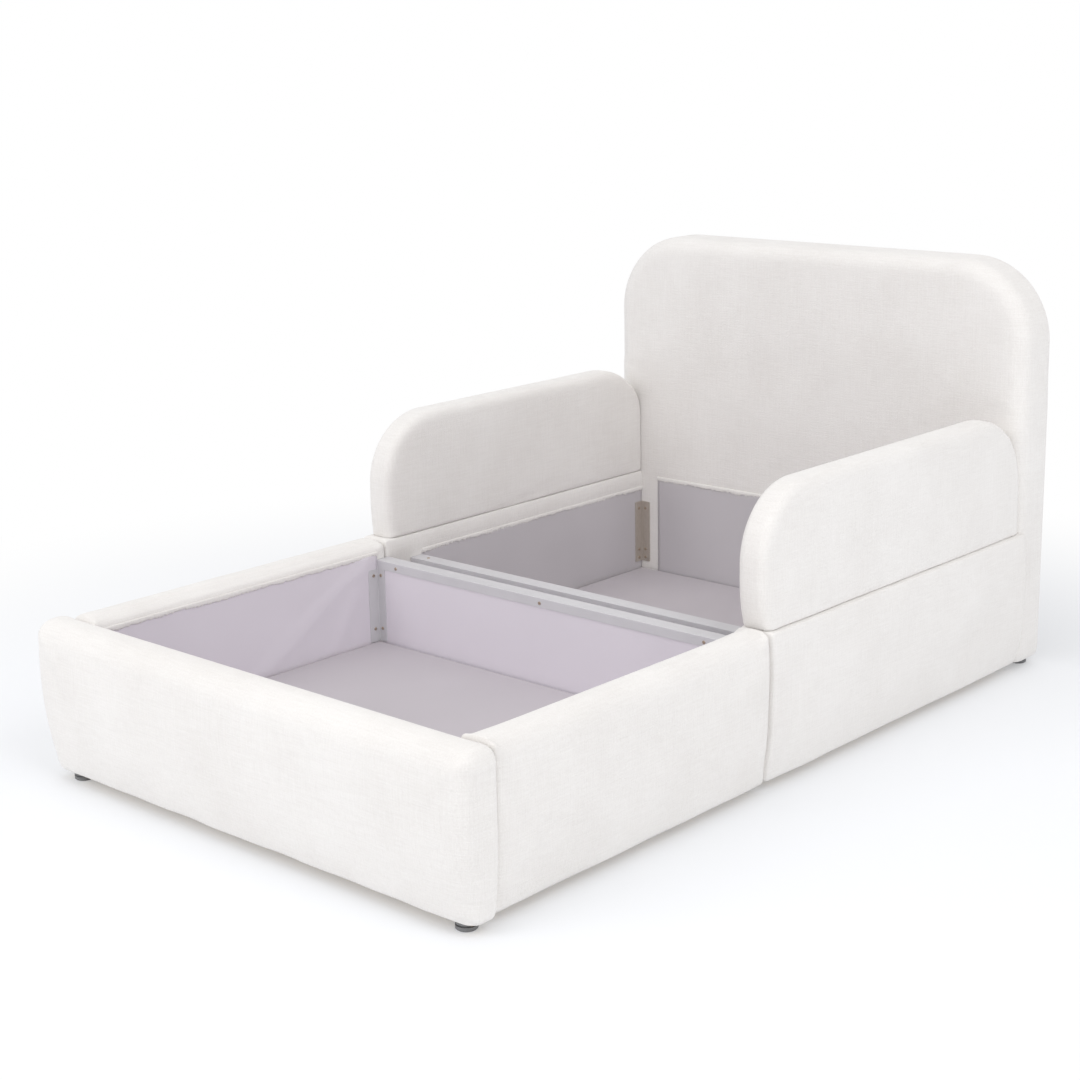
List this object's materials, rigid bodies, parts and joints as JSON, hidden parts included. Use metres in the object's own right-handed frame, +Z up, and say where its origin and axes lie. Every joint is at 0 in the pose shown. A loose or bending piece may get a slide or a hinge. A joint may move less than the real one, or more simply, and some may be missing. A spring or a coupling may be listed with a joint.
{
  "type": "storage bed",
  "caption": "Upholstered storage bed: open fabric-lined boxes with lift-out floor boards, a tall headboard, a low footboard and lift-off side guard rails, on glides.",
  "frame": {"origin": "centre of the bounding box on the floor", "axes": "+Y from the footboard to the headboard, along the bed; +X across it, to the right as seen from the foot looking at the headboard; +Z up"},
  "size_m": [1.4344, 2.2911, 1.117],
  "materials": {
    "fabric_white": "soft off-white pile upholstery fabric",
    "lining": "thin lilac-grey non-woven cloth",
    "back_cloth": "thin black dust cloth",
    "timber": "raw pine",
    "board": "fibreboard covered in lilac-grey cloth",
    "steel_painted": "off-white satin paint",
    "steel_bare": "dull zinc",
    "screw": "dark brown",
    "glide": "dark grey moulded"
  },
  "bodies": {
    "frame": {"corner_bracket_screws": "screw", "divider_angle_screws": "screw", "foot_corner_bracket_left": "steel_bare", "foot_corner_bracket_right": "steel_bare", "foot_divider_angle_left": "steel_bare", "foot_divider_angle_right": "steel_bare", "foot_divider_board": "board", "foot_divider_rail": "steel_painted", "foot_floor_bearers": "timber", "foot_side_batten_left": "timber", "foot_side_batten_right": "timber", "foot_side_core_left": "timber", "foot_side_core_right": "timber", "foot_side_lining_left": "lining", "foot_side_lining_right": "lining", "foot_side_padding_left": "fabric_white", "foot_side_padding_right": "fabric_white", "footboard_core": "timber", "footboard_lining": "lining", "footboard_padding": "fabric_white", "glide_front_left": "glide", "glide_front_right": "glide", "glide_middle_left": "glide", "glide_middle_right": "glide", "glide_rear_left": "glide", "glide_rear_right": "glide", "glide_studs": "steel_bare", "guard_bushes_left": "steel_bare", "guard_bushes_right": "steel_bare", "head_corner_bracket_left": "steel_bare", "head_corner_bracket_right": "steel_bare", "head_divider_angle_left": "steel_bare", "head_divider_angle_right": "steel_bare", "head_divider_board": "board", "head_divider_rail": "steel_painted", "head_floor_bearers": "timber", "head_side_batten_left": "timber", "head_side_batten_right": "timber", "head_side_core_left": "timber", "head_side_core_right": "timber", "head_side_lining_left": "lining", "head_side_lining_right": "lining", "head_side_padding_left": "fabric_white", "head_side_padding_right": "fabric_white", "headboard_back_cloth": "back_cloth", "headboard_base_board": "timber", "headboard_core": "timber", "headboard_lining": "lining", "headboard_padding": "fabric_white", "middle_beam": "timber", "rail_screws": "screw"},
    "guard_left": {"guard_core_left": "timber", "guard_padding_left": "fabric_white", "guard_pins_left": "steel_bare"},
    "guard_right": {"guard_core_right": "timber", "guard_padding_right": "fabric_white", "guard_pins_right": "steel_bare"},
    "foot_floor": {"foot_floor_board": "board"},
    "head_floor": {"head_floor_board": "board"}
  },
  "joints": [
    {"name": "guard_left_lift", "type": "slide", "parent": "frame", "child": "guard_left", "axis": [0, 0, 1], "range_m": [0, 0.12]},
    {"name": "guard_right_lift", "type": "slide", "parent": "frame", "child": "guard_right", "axis": [0, 0, 1], "range_m": [0, 0.12]},
    {"name": "foot_floor_lift", "type": "slide", "parent": "frame", "child": "foot_floor", "axis": [0, 0, 1], "range_m": [0, 0.34]},
    {"name": "head_floor_lift", "type": "slide", "parent": "frame", "child": "head_floor", "axis": [0, 0, 1], "range_m": [0, 0.68]}
  ]
}
